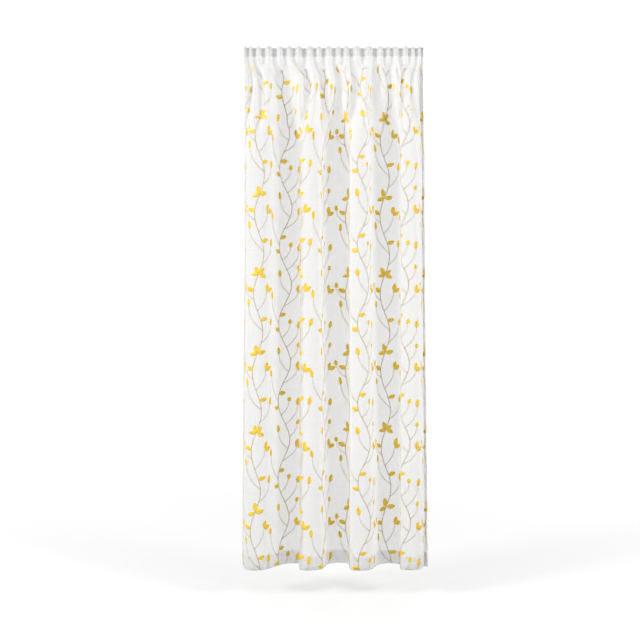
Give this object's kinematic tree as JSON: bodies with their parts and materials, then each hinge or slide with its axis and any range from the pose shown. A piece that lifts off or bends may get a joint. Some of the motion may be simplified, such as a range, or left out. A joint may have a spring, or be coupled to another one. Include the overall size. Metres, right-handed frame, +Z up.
{
  "type": "sheer voile curtain panel with gathered heading tape",
  "caption": "Sheer white voile curtain panel, hung in soft uneven folds from a gathered heading, with embroidered trailing leaf sprigs.",
  "frame": {"origin": "middle of the top edge, in the plane that the folds swing about", "axes": "+Z up, the curtain hangs down -Z; +X to the right along the heading as seen from the room; -Y towards the room"},
  "size_m": [0.7582, 0.1473, 2.13],
  "materials": {
    "voile": "plain-woven sheer polyester voile, white, soft matt",
    "tape": "woven gathering tape, white, matt",
    "leaf_thread": "satin-stitched golden yellow embroidery thread, silky",
    "stem_thread": "stitched beige embroidery thread, silky"
  },
  "bodies": {
    "root": {"voile_panel": "voile", "heading_tape": "tape"}
  },
  "joints": []
}
